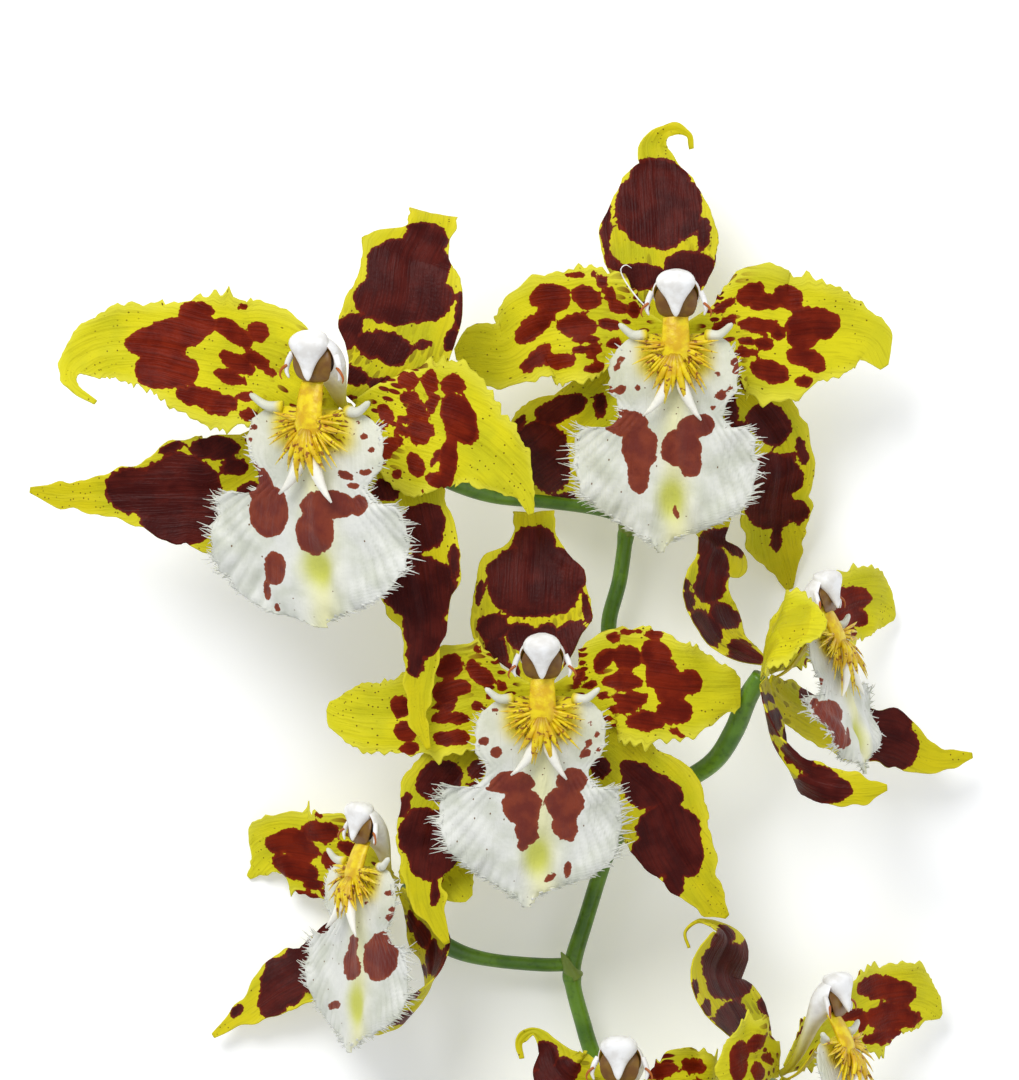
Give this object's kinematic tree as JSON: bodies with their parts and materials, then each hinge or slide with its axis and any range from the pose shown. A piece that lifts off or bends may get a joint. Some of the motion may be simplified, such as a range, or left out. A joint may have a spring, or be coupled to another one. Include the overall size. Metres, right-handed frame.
{
  "type": "cut orchid stem",
  "caption": "Cut orchid stem lying down: star-shaped yellow blooms with chestnut blotches, each with a fringed, blotched white lip, on a thin green stalk.",
  "frame": {"origin": "on the table, under the middle of the bounding box", "axes": "+Y up the stem from its cut end to the top blooms, +Z off the table, the way the blooms face, +X to the right seen from above with the cut end nearest"},
  "size_m": [0.1922, 0.3, 0.071],
  "materials": {
    "stem": "satin living green",
    "sepal": "soft satin, yellow with chestnut blotches",
    "petal": "soft satin, yellow with chestnut blotches",
    "lip": "soft matte, white with red-brown blotches",
    "crest": "waxy golden yellow",
    "column": "waxy white"
  },
  "bodies": {
    "root": {"stem": "stem", "bloom_a_dorsal_sepal": "sepal", "bloom_a_left_petal": "petal", "bloom_a_right_petal": "petal", "bloom_a_left_lateral_sepal": "sepal", "bloom_a_right_lateral_sepal": "sepal", "bloom_a_lip": "lip", "bloom_a_crest": "crest", "bloom_a_column": "column", "bloom_b_dorsal_sepal": "sepal", "bloom_b_left_petal": "petal", "bloom_b_right_petal": "petal", "bloom_b_left_lateral_sepal": "sepal", "bloom_b_right_lateral_sepal": "sepal", "bloom_b_lip": "lip", "bloom_b_crest": "crest", "bloom_b_column": "column", "bloom_c_dorsal_sepal": "sepal", "bloom_c_left_petal": "petal", "bloom_c_right_petal": "petal", "bloom_c_left_lateral_sepal": "sepal", "bloom_c_right_lateral_sepal": "sepal", "bloom_c_lip": "lip", "bloom_c_crest": "crest", "bloom_c_column": "column", "bloom_d_dorsal_sepal": "sepal", "bloom_d_left_petal": "petal", "bloom_d_right_petal": "petal", "bloom_d_left_lateral_sepal": "sepal", "bloom_d_right_lateral_sepal": "sepal", "bloom_d_lip": "lip", "bloom_d_crest": "crest", "bloom_d_column": "column", "bloom_e_dorsal_sepal": "sepal", "bloom_e_left_petal": "petal", "bloom_e_right_petal": "petal", "bloom_e_left_lateral_sepal": "sepal", "bloom_e_right_lateral_sepal": "sepal", "bloom_e_lip": "lip", "bloom_e_crest": "crest", "bloom_e_column": "column", "bloom_f_dorsal_sepal": "sepal", "bloom_f_left_petal": "petal", "bloom_f_right_petal": "petal", "bloom_f_left_lateral_sepal": "sepal", "bloom_f_right_lateral_sepal": "sepal", "bloom_f_lip": "lip", "bloom_f_crest": "crest", "bloom_f_column": "column", "bloom_g_dorsal_sepal": "sepal", "bloom_g_left_petal": "petal", "bloom_g_right_petal": "petal", "bloom_g_left_lateral_sepal": "sepal", "bloom_g_right_lateral_sepal": "sepal", "bloom_g_lip": "lip", "bloom_g_crest": "crest", "bloom_g_column": "column"}
  },
  "joints": []
}
